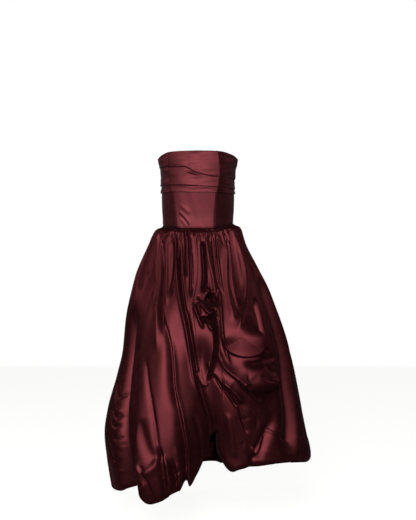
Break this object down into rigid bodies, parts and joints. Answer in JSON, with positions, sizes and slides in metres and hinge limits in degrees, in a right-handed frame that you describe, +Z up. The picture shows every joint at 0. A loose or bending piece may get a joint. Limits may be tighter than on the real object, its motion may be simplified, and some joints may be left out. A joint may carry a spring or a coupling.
{
  "type": "party dress",
  "caption": "Strapless satin party dress: boned bodice with a tucked bust band and a full pleated skirt, caught up at the front, with a turned-under bubble hem.",
  "frame": {"origin": "centre of the waist seam, where the wearer's waist holds the dress", "axes": "+Z up, the front faces -Y, the wearer's left is +X"},
  "size_m": [0.7272, 0.7117, 1.1825],
  "materials": {
    "bodice_satin": "burgundy duchess satin, boned and smooth",
    "band_satin": "burgundy duchess satin, laid in tucks",
    "skirt_satin": "burgundy duchess satin, lustrous, pleated and gathered",
    "zip_tape": "woven tape, matt",
    "zip_metal": "burgundy lacquer"
  },
  "bodies": {
    "dress": {"bodice_back_right": "bodice_satin", "bodice_side_back_right": "bodice_satin", "bodice_side_front_right": "bodice_satin", "bodice_centre_front": "bodice_satin", "bodice_side_front_left": "bodice_satin", "bodice_side_back_left": "bodice_satin", "bodice_back_left": "bodice_satin", "bust_tuck_band": "band_satin", "skirt_front_right": "skirt_satin", "skirt_front_left": "skirt_satin", "skirt_back_left": "skirt_satin", "skirt_back_right": "skirt_satin", "zip_tape": "zip_tape", "zip_slider": "zip_metal"},
    "zip_tab": {"zip_tab": "zip_metal"}
  },
  "joints": [
    {"name": "zip_tab_hinge", "type": "hinge", "parent": "dress", "child": "zip_tab", "pos_m": [0, 0.10659, 0.2145], "axis": [1, 0, 0], "range_deg": [0, 150]}
  ]
}
